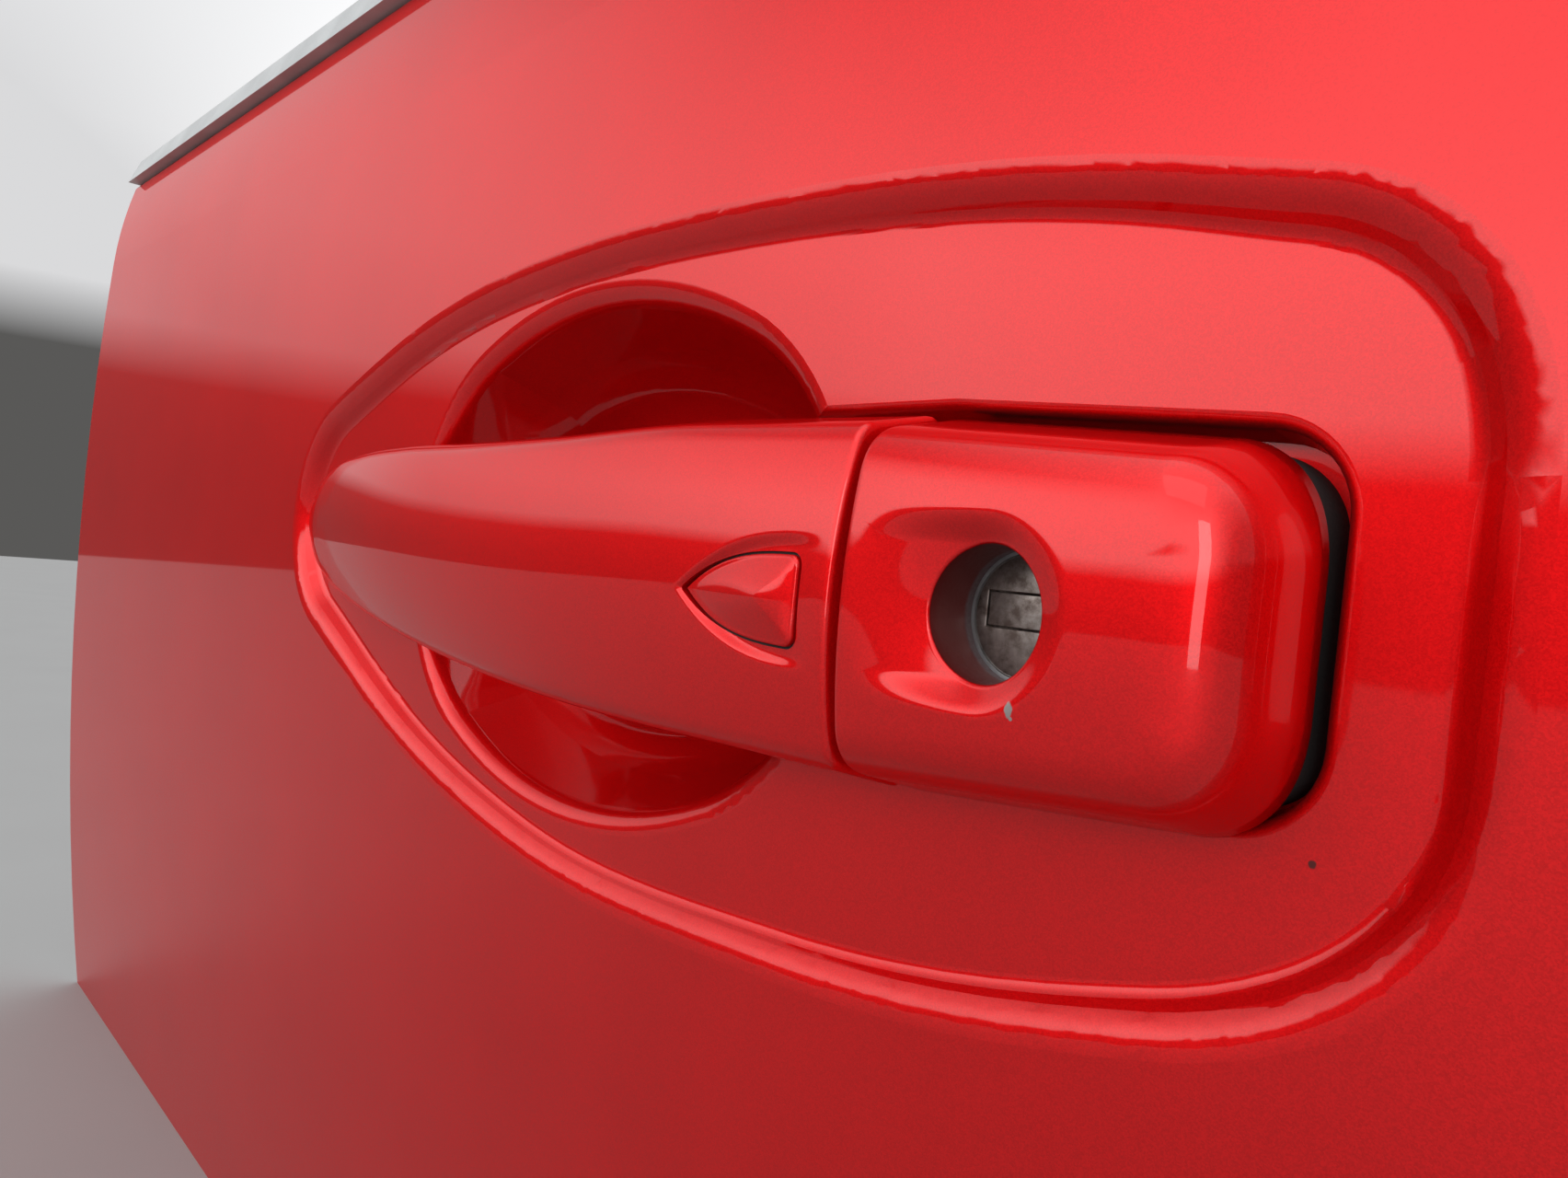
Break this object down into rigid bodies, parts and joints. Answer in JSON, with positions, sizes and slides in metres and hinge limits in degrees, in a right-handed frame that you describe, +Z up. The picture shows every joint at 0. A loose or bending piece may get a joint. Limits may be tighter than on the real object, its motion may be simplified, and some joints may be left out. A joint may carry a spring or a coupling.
{
  "type": "car door pull handle on a section of door skin",
  "caption": "Side door pull handle with lock cap and unlock button, set over a finger cup pressed in a section of door skin, with its release lever behind.",
  "frame": {"origin": "on the handle's long axis at the seam between grip and lock cap, on the floor of the pressed field round it", "axes": "+X to the car's rear along the handle, +Y into the door, +Z up"},
  "size_m": [0.52, 0.0693, 0.328],
  "materials": {
    "body_paint": "red metallic paint under clear coat on pressed steel",
    "handle_paint": "red metallic paint under clear coat on moulded plastic",
    "belt_grey": "light grey moulded strip, satin",
    "carrier_black": "black glass-filled moulding, matt",
    "rubber_black": "soft black seal",
    "zinc_cast": "die-cast zinc, dull grey",
    "steel_pin": "zinc-plated steel",
    "plug_steel": "worn stainless face of the lock plug"
  },
  "bodies": {
    "door_section": {"door_skin_front": "body_paint", "door_skin_cup": "body_paint", "door_skin_rear": "body_paint", "belt_moulding": "belt_grey", "handle_bracket": "carrier_black", "lock_cap": "handle_paint", "rear_gasket": "rubber_black", "front_gasket": "rubber_black", "lock_housing": "zinc_cast", "pivot_pin": "steel_pin", "lever_pin": "steel_pin", "cap_screw": "steel_pin"},
    "grip": {"grip_outer": "handle_paint", "grip_inner": "handle_paint", "unlock_button": "handle_paint", "button_gasket": "rubber_black"},
    "lever": {"release_lever": "zinc_cast", "counterweight": "steel_pin"},
    "lock": {"lock_plug": "plug_steel", "key_shutter": "plug_steel", "lock_tail": "steel_pin"}
  },
  "joints": [
    {"name": "grip_pull", "type": "hinge", "parent": "door_section", "child": "grip", "pos_m": [-0.186, 0.009, 0.0032], "axis": [0, 0, -1], "range_deg": [0, 8], "stiffness_Nm_per_rad": 3, "springref_deg": -20.05},
    {"name": "lever_turn", "type": "hinge", "parent": "door_section", "child": "lever", "pos_m": [-0.0065, 0.0278, -0.03193], "axis": [1, 0, 0], "range_deg": [0, 45]},
    {"name": "lock_turn", "type": "hinge", "parent": "door_section", "child": "lock", "pos_m": [0.0182, 0.03, 0], "axis": [0, -1, 0], "range_deg": [-75, 75], "stiffness_Nm_per_rad": 0.15}
  ],
  "couplings": [
    {"joint": "lever_turn", "follows": "grip_pull", "ratio": 5.625}
  ]
}
